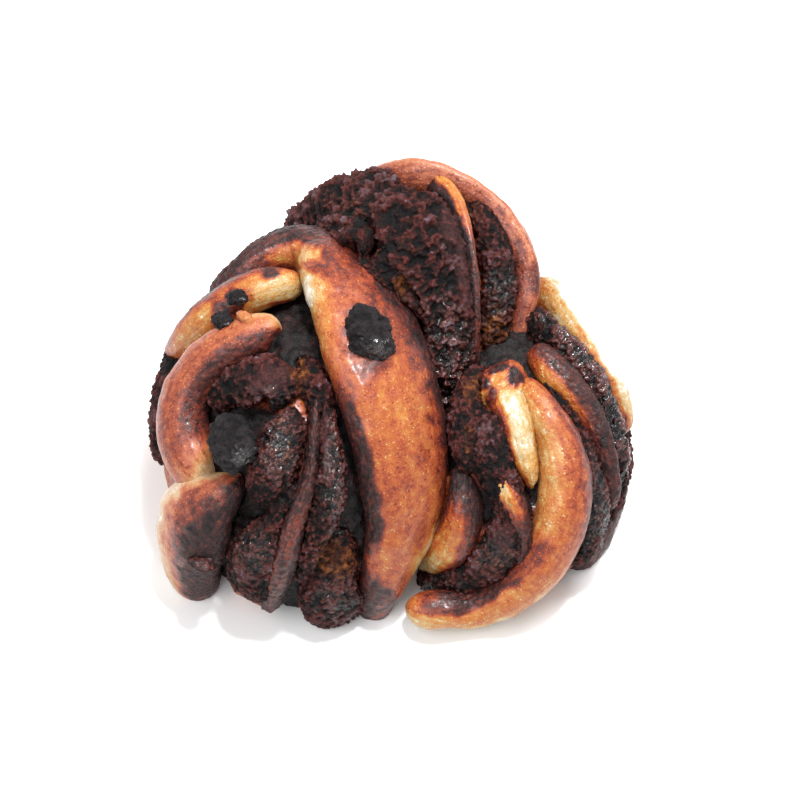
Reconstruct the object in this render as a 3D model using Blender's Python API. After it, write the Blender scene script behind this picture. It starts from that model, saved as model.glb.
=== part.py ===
"""Chocolate babka: one knotted bun of browned dough bands with dark chocolate filling.

Three rounded lobes stand on a flat base. Bands of dough lie over the lobes, chocolate
filling lies in the grooves between the bands and runs down into the bun, and charred lumps
of chocolate sit on top. A band or a rope of filling is a row of stations: a place on a
lobe, the lift of its crest above that lobe, half its width and the rise of its section.
Sizes are in millimetres, +Z is up, and the origin is on the base under the middle.
"""

import math

import bmesh
import bpy
import numpy as np
from mathutils import Matrix, Vector, noise

MM = 0.001

# The lobes, each with its centre and its radii
LEFT = ((-20, -12, 8), (37, 46, 44))
BACK = ((4.5, 22, 10), (35, 34, 44))
RIGHT = ((28, -12, 6), (31, 42, 36))
LOBES = (LEFT, BACK, RIGHT)
CRUST_DEPTH = 6          # the core of a lobe lies this far inside it

# Where the stations that show from above are read: a viewer in front, looking down
VIEW_CLIMB = math.radians(60)
VIEW_DISTANCE = 784
VIEW_AIM = np.array([2.6, -7.4, 22.0])
VIEW_BACK = np.array([0.0, -math.cos(VIEW_CLIMB), math.sin(VIEW_CLIMB)])
VIEW_UP = np.array([0.0, math.sin(VIEW_CLIMB), math.cos(VIEW_CLIMB)])
VIEW_EYE = VIEW_AIM + VIEW_BACK * VIEW_DISTANCE

# How bands and ropes are made
GAP = 0.6                # free space between two pieces, before facets take their share
BAND_ROOT = 9            # a band reaches this far below its widest line, into the core
ROUND_END = 5            # length over which a band's end closes
FULLNESS = 2.3           # 2 is an elliptic section, more is squarer
SECTION_SIDES = 20
STEPS_A_SPAN = 8
VOXEL = 0.9
SMOOTH_PASSES = 4
SPREAD = 0.1             # share of the way to its neighbours' middle that a point moves

# Relief, cut inwards so that nothing grows into its neighbour
BAND_RELIEF = 0.5
BAND_RELIEF_SIZE = 9.0
CRUMB_RELIEF = 1.5
CRUMB_SIZE = 4.6

# Triangles that the larger shapes are brought down to
DOUGH_TRIANGLES = 7000
FILLING_TRIANGLES_A_CM2 = 23

# Bands that show from above: right, up, lift, half width, rise
SEEN_BANDS = {
    "wide band": (LEFT, [
        (-46.5, 25, 2, 2, 3), (-43, 29.5, 4, 2.6, 3.2), (-38, 34, 6, 3.5, 4),
        (-32, 38.5, 7.5, 5, 5), (-25, 41, 8.5, 6.5, 5.5), (-17.5, 40, 8.5, 8, 6),
        (-12, 35.5, 8, 10.8, 6.5), (-7.4, 28, 7.4, 12.6, 6.8), (-3, 18, 6.8, 14, 7),
        (1.4, 6.5, 6.2, 14.4, 7.4), (5, -5.5, 5.6, 14, 7.5), (6.8, -17.5, 5, 13.2, 7.5),
        (6.2, -28.5, 4.5, 11.6, 7), (2.8, -38, 4, 8.6, 6), (-1.5, -47, 3.5, 5.4, 5),
        (-5.2, -53.5, 2.5, 4, 4)]),
    "shoulder": (LEFT, [
        (-22, 30.5, 1, 3.4, 3), (-27.5, 31, 3.4, 4.6, 3.8), (-33.5, 30.5, 4.4, 5.4, 4.6),
        (-39.5, 28.3, 4.6, 5.6, 5), (-45, 24.8, 4.6, 5.2, 5), (-50, 20.3, 4, 4.4, 4.6),
        (-53.8, 15.6, 2.8, 3.4, 4), (-56.2, 11, 1.4, 2.6, 3)]),
    "curl": (LEFT, [
        (-26.5, 18.5, 1.5, 2.4, 2.6), (-29.5, 19.2, 3, 3.8, 3.6), (-34.5, 18.6, 4, 5, 4.6),
        (-41, 16.3, 4.6, 5.4, 5), (-48, 12.2, 4.8, 5.8, 5.4), (-54, 5, 4.8, 6.2, 5.8),
        (-56.5, -3, 4.8, 6.6, 6), (-55.5, -11, 4.2, 6.6, 6), (-51.8, -17.4, 2.8, 6, 5),
        (-46.5, -21.4, 0.5, 3.8, 3.6)]),
    "curl flake": (LEFT, [
        (-39.5, 21.6, 5, 1.4, 1.4), (-37.2, 20.4, 6, 1.9, 1.6), (-34.5, 19, 5.5, 1.6, 1.5)]),
    "lower left": (LEFT, [
        (-38.5, -17.5, -1, 2.6, 2.6), (-43.5, -21.8, 1.5, 5.4, 4), (-49, -26.2, 4, 9, 5.6),
        (-53.5, -31.5, 5.5, 10.4, 6.6), (-55, -37.5, 5.5, 9.4, 6.6), (-53.5, -43.5, 5, 7.4, 6),
        (-50.5, -49, 4, 5.6, 5.4), (-47.5, -53.5, 2.5, 4.4, 4.5)]),
    "lower left flap": (LEFT, [
        (-51.5, -37.8, 6.4, 0.8, 1), (-49, -39.8, 7.2, 1.2, 1.2), (-46.5, -41, 6.6, 1.1, 1.2),
        (-44, -42, 5, 0.8, 1)]),
    "fan rib": (LEFT, [
        (-19.5, 1.5, -1.5, 1.2, 2), (-20, -7, -0.5, 1.5, 2.2), (-20.7, -15.3, 0.2, 1.8, 2.5),
        (-22.1, -22.3, 0.6, 2.2, 3), (-24.5, -28.4, 1, 2.8, 3.5), (-26.4, -34.5, 1.4, 3.2, 4),
        (-28.4, -40.5, 1.4, 3.5, 4), (-30.2, -46, 1, 3.4, 3.8), (-32, -51.5, 0, 2.8, 3.2)]),
    "crown edge": (BACK, [
        (6, 55.5, 1, 1.6, 2.2), (10, 53, 2, 2.6, 2.6), (13.8, 48.6, 2.2, 2.5, 2.8),
        (16, 42, 1.8, 1.8, 2.8), (17.5, 35.3, 1.6, 1.5, 2.8), (18.3, 28, 1.6, 1.4, 2.8),
        (18.7, 20.5, 1.6, 1.4, 2.8), (18.5, 13.5, 1.6, 1.4, 2.8), (17.8, 6.5, 2, 1.4, 2.8),
        (17, 1, 2, 1.2, 2.4)]),
    "crown rim": (BACK, [
        (-8, 55, 1.5, 3, 3), (2, 57, 4, 2.4, 3.4), (10.5, 55.5, 4.2, 2, 3),
        (18.5, 51.5, 4, 2, 3), (24.5, 46.5, 4, 2.2, 3.2), (28.8, 40.5, 4.2, 2.6, 3.8),
        (31.9, 34, 4.6, 2.6, 3.8), (33, 28, 4.6, 2.4, 3.8), (32, 22.5, 3.6, 2.2, 3.4),
        (30.4, 17, 2.4, 2, 3.2), (28.8, 12, 1.2, 1.9, 3), (27.8, 8.5, 0.4, 1.5, 2.5)]),
    "crown foot": (BACK, [
        (24.5, 14, -0.5, 3.5, 2.5), (23.3, 8.9, 1.5, 4.8, 3), (22, 3.8, 2.5, 4.8, 3.2),
        (20.5, 0, 2.5, 4, 3)]),
    "right back": (RIGHT, [
        (33.5, 33, 3.5, 3, 3), (39.5, 27, 4.2, 4.2, 4.2), (46, 18.5, 4, 4.8, 4.5),
        (51, 9.5, 3.5, 4.2, 4.2), (54.2, 0, 2.5, 3, 3.6), (55.5, -8, 1, 2.2, 3)]),
    "right ridge": (RIGHT, [
        (30.5, 14.5, -1, 3, 3), (35, 12, 0, 3.8, 3.5), (39.5, 7.5, 0.8, 4.4, 4),
        (44.8, 1.5, 1, 4, 4), (48.8, -6, 1.5, 3.1, 4), (50.8, -13, 1.5, 2.5, 3.8),
        (51.8, -20, 1.5, 2.2, 3.6), (51.2, -27, 0.8, 1.9, 3.2)]),
    "golden loop": (RIGHT, [
        (28.5, 5, 0, 3, 3.2), (35.5, -1.5, 1.5, 4.4, 4.5), (40.5, -10.5, 2.5, 5.5, 5.5),
        (42.5, -21.5, 3, 6.5, 6), (40.5, -32.5, 3, 6.5, 6), (35, -42.5, 3, 6, 6),
        (26, -49, 3.2, 5.5, 6), (17, -51.8, 4.4, 5.2, 5.2), (8.6, -51, 8.5, 5.5, 5),
        (1, -49, 12, 5.5, 4.6)]),
    "foot flap": (RIGHT, [
        (22, -51, 2, 2, 2), (26, -51.5, 3, 2.5, 2), (30, -49.5, 2, 2, 2)]),
    "pale strand": (RIGHT, [
        (26.5, 6, -0.5, 3.5, 3), (25.5, 1.5, 0.8, 4.4, 3.8), (27.5, -4.5, 1, 4.2, 4),
        (29.2, -10.5, 0.8, 3.6, 3.8), (30.8, -16.5, 0, 2.6, 3.4), (32, -21.5, -1, 1.6, 2.6)]),
    "heart loop": (RIGHT, [
        (11.6, -17.5, -2, 2.3, 2.4), (12.2, -24, 0, 3.8, 4), (11.6, -31, 0.5, 4.2, 4.5),
        (8.4, -36.5, 0.5, 4.4, 4), (4, -39.5, -0.5, 4, 4)]),
    "heart core": (RIGHT, [
        (23, -17.8, -0.5, 1.8, 2.2), (24.9, -21.2, 0.5, 3, 2.8), (27, -24.8, 0.5, 2.8, 2.8),
        (28.6, -28.5, -1, 1.8, 2.2)]),
}

# Bands of the sides and the back: turn and climb in degrees, lift, half width, rise
HIDDEN_BANDS = {
    "back drape left": (BACK, [
        (140, 34, -2, 5, 4), (146, 24, 0, 7.5, 5), (150, 9, 2, 8, 5.5),
        (150, -12, 1.5, 7.5, 5.5)]),
    "back drape middle": (BACK, [
        (100, 36, -2, 6, 4), (107, 24, 0, 8.5, 5), (112, 9, 1.5, 9, 5.5),
        (114, -12, 1.5, 8, 5.5)]),
    "back drape right": (BACK, [
        (60, 40, -2, 5, 4), (66, 27, 0, 7.5, 5), (72, 12, 1.5, 8.5, 5.5), (76, -12, 1.5, 8, 5.5)]),
    "back tuck": (BACK, [
        (38, 26, 0, 4, 4), (36, 12, 1, 6.5, 5), (30, -2, 1, 7, 5), (22, -14, 0.5, 6, 5)]),
    "left skirt": (LEFT, [
        (122, 12, 0, 5, 4), (142, 7, 0.5, 7, 5), (162, 2, -1, 7.5, 5.5),
        (182, -3, -3, 6.5, 5.5), (202, -6, -3.5, 6, 5.5), (222, -9, -2.5, 5.5, 5)]),
    "right skirt": (RIGHT, [
        (52, 8, -1, 4, 4), (32, 4, -1, 5.5, 5), (10, 0, -1.5, 6, 5.5), (-12, -4, -1.5, 6, 5.5),
        (-34, -8, -1.5, 6, 5.5), (-52, -11, -2, 5, 5)]),
}

# Filling that shows from above, as nodes of one or more ropes
SEEN_FILLING = {
    "filling_crown": (BACK, [
        [(-23.5, 43.5, 0, 8, 6), (-13, 44.5, 1.5, 15, 8), (-2.5, 37, 3, 18, 9),
         (6, 24.5, 3.2, 14, 8), (11, 12, 4, 9.5, 7), (13, 3, 6.8, 6.5, 6), (13.5, -5, 8, 4.8, 5)],
        [(-30.5, 38.5, 2.5, 6, 5), (-26, 45.5, 3, 7.5, 6.5), (-18, 51, 2.8, 8, 6),
         (-8, 54, 2.8, 8, 6), (1, 54, 2, 7, 5)]]),
    "filling_crown_groove": (BACK, [
        [(14.5, 51.5, 0, 2, 2.5), (18.5, 47, 0.3, 3.4, 3.2), (22.5, 41, 0, 4.8, 3.5),
         (24.8, 33, -0.5, 5.6, 3.6), (25.2, 25, -0.5, 5.6, 3.6), (24.5, 18, -1, 5, 3.5),
         (23.5, 12, -1.5, 4, 3)]]),
    "filling_curl": (LEFT, [
        [(-46, -3.5, -1.5, 4, 4), (-44.5, 3, 0.2, 5.5, 5), (-38, 6.6, 1.6, 7, 6),
         (-30.5, 6.2, 1.8, 7.4, 6), (-25.5, 6.8, 1, 6, 5), (-22, 7.5, -1, 4.5, 3.6)]]),
    "filling_fan_left": (LEFT, [
        [(-24.8, 1, -1.5, 2.5, 3), (-26.2, -4, 0.8, 4.6, 4.5), (-28.5, -9.5, 1.8, 5.8, 5.5),
         (-31, -15.5, 1.5, 6.5, 5.5), (-33, -21, 0.4, 6, 5), (-35, -26.5, -1.5, 4.5, 4)],
        [(-23.3, -19, -1, 1.5, 2), (-25.5, -24.5, -0.5, 2.4, 2.6), (-28.7, -30, 0, 4.2, 3.8),
         (-32.8, -36, 1.5, 7, 5.5), (-35.8, -42.5, 2.2, 8.2, 6), (-36, -49.5, 2, 7.2, 5.5)]]),
    "filling_fan_right": (LEFT, [
        [(-17.2, 2, -1.5, 1.6, 2.5), (-16.4, -6, -0.2, 3, 3.8), (-15.8, -14, 0.8, 4, 4.8),
         (-15.7, -21.5, 1.2, 4.6, 5.4), (-17, -27.5, 1.2, 4.8, 5.4),
         (-19.3, -33, 0.6, 4.2, 4.8), (-21.8, -39, 0, 3.2, 4), (-24, -45, -0.5, 2.6, 3.2)],
        [(-12.5, -30, -4.5, 3.5, 3), (-14, -36.5, -3.5, 6, 4), (-14.5, -43, -2, 7, 5),
         (-14.5, -49.5, 1.5, 8.5, 6), (-13, -55, 1.5, 8.5, 5.5)]]),
    "filling_right_stripe": (RIGHT, [
        [(31.5, 22.5, 0.5, 2.2, 3), (37, 18.5, 1.5, 3.2, 4), (43, 13, 2.2, 3.6, 4.2),
         (48, 7, 2.5, 3.6, 4.5), (51.3, 0, 2.5, 3.4, 4.6), (53.2, -7, 2.4, 3.2, 4.5),
         (54.4, -14, 1.8, 2.6, 4), (54.2, -21, 0.8, 1.6, 3)]]),
    "filling_right_flank": (RIGHT, [
        [(34, 5.5, -1.5, 2, 2.5), (39, 0, -1, 3, 3.5), (43.5, -8, -0.5, 4, 4),
         (46.8, -17, 0.6, 5.5, 5), (48.3, -26, 1, 6.2, 5.2), (47, -34.5, 1.2, 6.2, 5.2),
         (42, -41, 1, 5, 5)]]),
    "filling_heart": (RIGHT, [
        [(18.5, -0.5, 0, 3.5, 3.2), (19.8, -6.5, 1, 6, 4.8), (22, -13.5, 1, 6.5, 5),
         (23.8, -19.5, 0, 5.5, 4.6), (27.5, -27.5, -0.5, 4.5, 4.2), (26.5, -33.5, 0, 6, 5),
         (22, -39.5, 0, 6.2, 5), (15.5, -43.5, 0.2, 5.2, 4.6), (9, -45.2, 1.2, 4.6, 4.2),
         (2.5, -44.5, 2, 3.8, 3.8)],
        [(12, 0, -0.5, 3.2, 3.2), (13.2, -5.5, 0.8, 4.4, 4), (14, -12, 1, 3.8, 4),
         (14, -18.4, 0, 2.8, 3.2)]]),
}

# Filling of the sides and the back
HIDDEN_FILLING = {
    "filling_back_left": (BACK, [
        [(124, 30, -1, 3, 4), (130, 18, 1.5, 4.5, 5), (133, 4, 1.5, 5, 5),
         (133, -12, 1, 5, 5)]]),
    "filling_back_middle": (BACK, [
        [(82, 32, -1, 3, 4), (88, 18, 1.5, 4.5, 5), (94, 2, 1.5, 5, 5),
         (96, -12, 1, 5, 5)]]),
    "filling_back_right": (BACK, [
        [(46, 36, 0, 3, 4), (50, 22, 1, 4, 4.5), (54, 8, 1.5, 5, 5), (56, -10, 1, 5, 5)]]),
    "filling_left_side": (LEFT, [
        [(126, 30, 0, 3, 4), (142, 25, 1, 5, 5), (158, 21, 1.5, 6.5, 5.5),
         (176, 17, 1.5, 6.5, 5.5), (194, 13, 1, 5.5, 5)]]),
    "filling_right_side": (RIGHT, [
        [(44, 22, -0.5, 3, 3.5), (24, 16, -0.5, 4.5, 4.5), (4, 11, -0.5, 4.5, 5),
         (-16, 6, -0.5, 4.5, 4.5), (-34, 2, -1, 3.5, 4)]]),
}

# Charred lumps: lobe, right, up, lift of the centre, half length up the view, half width
# across it, half height, and icosphere subdivisions
LUMPS = {
    "chocolate_lump_band": (LEFT, -7.4, 15.6, 5, 7.2, 5.8, 4.6, 3),
    "chocolate_lump_curl": (LEFT, -39.5, -10, 2, 6.6, 5.7, 4.6, 3),
    "chocolate_bit_upper": (LEFT, -38.3, 24.2, 4.6, 1.8, 2.8, 2, 2),
    "chocolate_bit_lower": (LEFT, -41.8, 18.8, 4.6, 2.5, 3, 2.2, 2),
}
LUMP_RELIEF = 0.9
LUMP_RELIEF_SIZE = 4.0
ROOM_SUBDIVISIONS = 4

# Colours, from the photograph: linear red, green, blue, then roughness
CRUST = ((0.36, 0.115, 0.03), 0.38)
CHOCOLATE = ((0.028, 0.011, 0.009), 0.3)
CHARRED = ((0.012, 0.011, 0.012), 0.5)


def normalised(vector):
    return vector / np.linalg.norm(vector)


def place_seen(lobe, right, up, lift):
    """Crest and outward normal where a line of sight meets the lobe raised by lift."""
    centre, radii = np.array(lobe[0], float), np.array(lobe[1], float) + lift
    aim = VIEW_AIM + np.array([right, 0, 0]) + VIEW_UP * up
    ray = normalised(aim - VIEW_EYE)
    start, step = (VIEW_EYE - centre) / radii, ray / radii
    a, b, c = step @ step, start @ step, start @ start - 1
    reach = max(b * b - a * c, 0.0)
    # Where the line passes the lobe, its nearest point slides in to the outline
    unit = normalised(start + step * (-b - math.sqrt(reach)) / a)
    return centre + unit * radii, normalised(unit / radii)


def place_around(lobe, turn, climb, lift):
    """Crest and outward normal at a turn from +X and a climb above the level, in degrees."""
    centre, radii = np.array(lobe[0], float), np.array(lobe[1], float) + lift
    turn, climb = math.radians(turn), math.radians(climb)
    level = math.cos(climb)
    unit = np.array([math.cos(turn) * level, math.sin(turn) * level, math.sin(climb)])
    return centre + unit * radii, normalised(unit / radii)


def rows_of(place, lobe, stations):
    """Stations as rows of crest, normal, half width and rise."""
    rows = []
    for first, second, lift, half, rise in stations:
        crest, normal = place(lobe, first, second, lift)
        rows.append([*crest, *normal, half, rise])
    return np.array(rows)


def smooth_curve(rows, steps):
    """Rows read from a Catmull-Rom curve through the given rows."""
    ends = [2 * rows[0] - rows[1], 2 * rows[-1] - rows[-2]]
    knots = np.vstack([ends[0], rows, ends[1]])
    curve = []
    for index in range(1, len(knots) - 2):
        p0, p1, p2, p3 = knots[index - 1:index + 3]
        for t in np.arange(steps) / steps:
            curve.append(0.5 * (2 * p1 + (p2 - p0) * t
                                + (2 * p0 - 5 * p1 + 4 * p2 - p3) * t ** 2
                                + (3 * p1 - p0 - 3 * p2 + p3) * t ** 3))
    curve.append(rows[-1])
    return np.array(curve)


def section():
    """A unit superellipse, as across and up for each side."""
    turn = np.arange(SECTION_SIDES) * 2 * math.pi / SECTION_SIDES
    across, up = np.cos(turn), np.sin(turn)
    power = 2 / FULLNESS
    return np.sign(across) * abs(across) ** power, np.sign(up) * abs(up) ** power


def add_sweep(mesh, rows, root, grow=0.0):
    """A closed strand through the rows, its underside root below its widest line."""
    rows = smooth_curve(rows, STEPS_A_SPAN)
    crest, half, rise = rows[:, :3], rows[:, 6], rows[:, 7]
    along = np.gradient(crest, axis=0)
    along /= np.linalg.norm(along, axis=1)[:, None]
    up = rows[:, 3:6] - (rows[:, 3:6] * along).sum(1)[:, None] * along
    up /= np.linalg.norm(up, axis=1)[:, None]
    side = np.cross(along, up)
    run = np.concatenate([[0], np.cumsum(np.linalg.norm(np.diff(crest, axis=0), axis=1))])
    to_end = np.minimum(run, run[-1] - run) + 0.05
    closing = np.sqrt(1 - (1 - np.minimum(to_end / ROUND_END, 1)) ** 2)
    unit_side, unit_up = section()
    rings = []
    for i in range(len(rows)):
        middle = crest[i] - up[i] * rise[i]
        if i in (0, len(rows) - 1):
            middle = middle + along[i] * (grow if i else -grow)
        ring = []
        for s, u in zip(unit_side, unit_up):
            height = rise[i] if u > 0 else max(root, rise[i])
            place = (middle + side[i] * s * (half[i] * closing[i] + grow)
                     + up[i] * u * (height * closing[i] + grow))
            ring.append(mesh.verts.new(Vector(place * MM)))
        rings.append(ring)
    for lower, upper in zip(rings, rings[1:]):
        for j in range(SECTION_SIDES):
            k = (j + 1) % SECTION_SIDES
            mesh.faces.new((lower[j], lower[k], upper[k], upper[j]))
    mesh.faces.new(rings[0][::-1])
    mesh.faces.new(rings[-1])


def add_lobe_core(mesh, lobe):
    """An ellipsoid that lies inside the crust of a lobe."""
    centre, radii = lobe
    size = Matrix.Diagonal([(r - CRUST_DEPTH) * MM for r in radii] + [1])
    bmesh.ops.create_icosphere(
        mesh, subdivisions=5, radius=1, matrix=Matrix.Translation(Vector(centre) * MM) @ size)


def new_object(name, mesh):
    """An object of a bmesh's faces, which point outwards."""
    bmesh.ops.recalc_face_normals(mesh, faces=mesh.faces)
    data = bpy.data.meshes.new(name)
    mesh.to_mesh(data)
    mesh.free()
    piece = bpy.data.objects.new(name, data)
    bpy.context.scene.collection.objects.link(piece)
    return piece


def settle(piece):
    """The modifiers applied."""
    graph = bpy.context.evaluated_depsgraph_get()
    data = bpy.data.meshes.new_from_object(piece.evaluated_get(graph))
    piece.modifiers.clear()
    old = piece.data
    piece.data = data
    bpy.data.meshes.remove(old)


def fuse(piece):
    """Overlapping strands made one skin."""
    remesh = piece.modifiers.new("one skin", "REMESH")
    remesh.mode = "VOXEL"
    remesh.voxel_size = VOXEL * MM
    soften = piece.modifiers.new("soften", "SMOOTH")
    soften.iterations = SMOOTH_PASSES
    settle(piece)


def cut(piece, cutter, solver):
    """The cutter taken out of the piece."""
    boolean = piece.modifiers.new("cut", "BOOLEAN")
    boolean.operation = "DIFFERENCE"
    boolean.object = cutter
    boolean.solver = solver
    settle(piece)


def reduce(piece, triangles):
    """Facets merged until about this many triangles are left."""
    piece.data.calc_loop_triangles()
    decimate = piece.modifiers.new("fewer facets", "DECIMATE")
    decimate.ratio = min(1.0, triangles / len(piece.data.loop_triangles))
    spread = piece.modifiers.new("spread points that met", "SMOOTH")
    spread.factor = SPREAD
    settle(piece)


def area_cm2(piece):
    return sum(face.area for face in piece.data.polygons) / (10 * MM) ** 2


def carve(piece, depth, size):
    """Rounded clumps a few millimetres across, by cutting creases between them."""
    data = piece.data
    normals = [vertex.normal.copy() for vertex in data.vertices]
    for vertex, normal in zip(data.vertices, normals):
        nearest = noise.voronoi(vertex.co / (size * MM))[0][0]
        vertex.co -= normal * (depth * MM * min(nearest * nearest * 1.6, 1.0))


def keep_largest_shell(piece):
    """Loose scraps and sealed hollows dropped."""
    mesh = bmesh.new()
    mesh.from_mesh(piece.data)
    mesh.verts.ensure_lookup_table()
    seen = set()
    shells = []
    for start in mesh.verts:
        if start in seen:
            continue
        seen.add(start)
        shell, waiting = [], [start]
        while waiting:
            vertex = waiting.pop()
            shell.append(vertex)
            for edge in vertex.link_edges:
                other = edge.other_vert(vertex)
                if other not in seen:
                    seen.add(other)
                    waiting.append(other)
        shells.append(shell)
    shells.sort(key=len)
    for shell in shells[:-1]:
        bmesh.ops.delete(mesh, geom=shell, context="VERTS")
    mesh.to_mesh(piece.data)
    mesh.free()


def all_bands():
    """Every band's rows."""
    bands = [rows_of(place_seen, lobe, stations) for lobe, stations in SEEN_BANDS.values()]
    bands += [rows_of(place_around, lobe, stations) for lobe, stations in HIDDEN_BANDS.values()]
    return bands


def all_filling():
    """Every filling node's name and the rows of its ropes."""
    filling = {}
    for place, table in ((place_seen, SEEN_FILLING), (place_around, HIDDEN_FILLING)):
        for name, (lobe, ropes) in table.items():
            filling[name] = [rows_of(place, lobe, stations) for stations in ropes]
    return filling


def strand_object(name, bands=(), ropes=(), grow=0.0):
    """Bands with their deep roots and ropes with shallow ones, as one skin."""
    mesh = bmesh.new()
    for rows in bands:
        add_sweep(mesh, rows, BAND_ROOT, grow)
    for rows in ropes:
        add_sweep(mesh, rows, 0, grow)
    piece = new_object(name, mesh)
    fuse(piece)
    return piece


def lump_object(name, grow=0.0):
    """A charred lump, its long side up the view; grown, it is the smooth room that it needs."""
    lobe, right, up, lift, half_up, half_side, half_height, subdivisions = LUMPS[name]
    if grow:
        subdivisions = ROOM_SUBDIVISIONS
    centre, normal = place_seen(lobe, right, up, lift)
    long_way = VIEW_UP - normal * (VIEW_UP @ normal)
    long_way = normalised(long_way)
    axes = Matrix((np.cross(long_way, normal), long_way, normal)).transposed()
    size = Vector((half_side + grow, half_up + grow, half_height + grow)) * MM
    mesh = bmesh.new()
    place = Matrix.Translation(Vector(centre) * MM) @ axes.to_4x4() @ Matrix.Diagonal([*size, 1])
    bmesh.ops.create_icosphere(mesh, subdivisions=subdivisions, radius=1, matrix=place)
    return new_object(name, mesh)


def base_block():
    """All that is below the base."""
    mesh = bmesh.new()
    wide, deep = 400 * MM, 60 * MM
    size = Matrix.Diagonal([wide, wide, deep, 1])
    bmesh.ops.create_cube(mesh, size=1, matrix=Matrix.Translation((0, 0, -deep / 2)) @ size)
    return new_object("below_base", mesh)


def material(name, look):
    colour, roughness = look
    made = bpy.data.materials.new(name)
    made.use_nodes = True
    shader = made.node_tree.nodes["Principled BSDF"]
    shader.inputs["Base Color"].default_value = (*colour, 1)
    shader.inputs["Roughness"].default_value = roughness
    return made


def finish(piece, look):
    """Last clean-up of a piece, smooth shading and its material."""
    keep_largest_shell(piece)
    piece.data.shade_smooth()
    piece.data.set_sharp_from_angle(angle=math.radians(50))
    piece.data.materials.append(look)


def main():
    for old in list(bpy.data.objects):
        bpy.data.objects.remove(old)

    crust = material("browned_crust", CRUST)
    chocolate = material("chocolate_filling", CHOCOLATE)
    charred = material("charred_chocolate", CHARRED)

    bands, filling = all_bands(), all_filling()
    below = base_block()
    lump_room = [lump_object(name, GAP) for name in LUMPS]

    taken = []
    for name, ropes in filling.items():
        piece = strand_object(name, ropes=ropes)
        room = strand_object("room", bands=bands, ropes=taken, grow=GAP)
        cut(piece, room, "MANIFOLD")
        keep_largest_shell(piece)
        fuse(piece)
        carve(piece, CRUMB_RELIEF, CRUMB_SIZE)
        reduce(piece, FILLING_TRIANGLES_A_CM2 * area_cm2(piece))
        for cutter in (*lump_room, below):
            cut(piece, cutter, "MANIFOLD")
        finish(piece, chocolate)
        bpy.data.objects.remove(room)
        taken += ropes

    mesh = bmesh.new()
    for lobe in LOBES:
        add_lobe_core(mesh, lobe)
    core = new_object("core", mesh)
    fuse(core)
    pockets = strand_object("pockets", ropes=taken, grow=GAP)
    cut(core, pockets, "MANIFOLD")

    mesh = bmesh.new()
    mesh.from_mesh(core.data)
    for rows in bands:
        add_sweep(mesh, rows, BAND_ROOT)
    dough = new_object("dough", mesh)
    fuse(dough)
    carve(dough, BAND_RELIEF, BAND_RELIEF_SIZE)
    reduce(dough, DOUGH_TRIANGLES)
    for cutter in (*lump_room, below):
        cut(dough, cutter, "EXACT")
    finish(dough, crust)

    for cutter in (*lump_room, below, core, pockets):
        bpy.data.objects.remove(cutter)
    for name in LUMPS:
        lump = lump_object(name)
        carve(lump, LUMP_RELIEF, LUMP_RELIEF_SIZE)
        finish(lump, charred)


if __name__ == "__main__":
    main()
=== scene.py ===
"""Looks of the chocolate babka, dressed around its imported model.

Each band of dough is lofted through circles set along its way over a lobe, then subdivided and
given its swell, its lengthwise wrinkles and its crumbs. The chocolate filling is lofted the same
way, made one mass by a remesh and broken into clumps. Sizes in the tables are millimetres, +Z is
up, and places that show are read where the photograph shows them: right and up in its view.
"""

import math

import bmesh
import bpy
import numpy as np
from mathutils import Matrix, Vector, noise
from mathutils.bvhtree import BVHTree


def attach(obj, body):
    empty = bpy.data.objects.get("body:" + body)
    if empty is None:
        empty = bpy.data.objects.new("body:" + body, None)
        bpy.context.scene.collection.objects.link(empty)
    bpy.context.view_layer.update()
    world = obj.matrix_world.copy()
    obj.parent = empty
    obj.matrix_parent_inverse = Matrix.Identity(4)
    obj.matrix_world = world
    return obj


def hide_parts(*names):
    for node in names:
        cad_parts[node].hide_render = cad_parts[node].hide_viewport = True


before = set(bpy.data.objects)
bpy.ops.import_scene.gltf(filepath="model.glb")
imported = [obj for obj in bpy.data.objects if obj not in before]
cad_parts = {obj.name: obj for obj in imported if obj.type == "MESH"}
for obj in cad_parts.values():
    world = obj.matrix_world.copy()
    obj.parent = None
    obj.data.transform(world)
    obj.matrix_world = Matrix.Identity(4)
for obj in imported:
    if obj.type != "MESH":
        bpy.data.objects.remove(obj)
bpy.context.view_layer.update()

MM = 0.001

# The lobes that the bands lie over, each with its centre and its radii
LEFT = ((-20, -12, 8), (37, 46, 44))
BACK = ((4.5, 22, 10), (35, 34, 44))
RIGHT = ((28, -12, 6), (31, 42, 36))
CRUST_DEPTH = 6

# The photograph's view: a viewer in front, looking down
VIEW_CLIMB = math.radians(60)
VIEW_DISTANCE = 784
VIEW_AIM = np.array([2.6, -7.4, 22.0])
VIEW_BACK = np.array([0.0, -math.cos(VIEW_CLIMB), math.sin(VIEW_CLIMB)])
VIEW_UP = np.array([0.0, math.sin(VIEW_CLIMB), math.cos(VIEW_CLIMB)])
VIEW_EYE = VIEW_AIM + VIEW_BACK * VIEW_DISTANCE
LENS = 150
SENSOR = 36

# Strands: distance of the circles, length of a rounded end, least height below the crest
RING_SPACING = 3.0
ROUND_END = 5
SHALLOWEST = 5

# Grain of the remeshes: joined ropes, crumbly filling, cutting skins and crumb cores
ROPE_VOXEL = 0.6
GRAIN_VOXEL = 0.34
SKIN_VOXEL = 0.8

# The crumb under the bands: how far it rises where covered, how brown it is in gaps, as dark crumb
# with painted shade, and elsewhere
CRUMB_SWELL = 1.5
GAP_CRUMB_AND_SHADE, BAKED_CRUMB = 0.97, 0.5

# How much of the light the palest crust gives back under the bright studio
ALBEDO = 0.46

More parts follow.
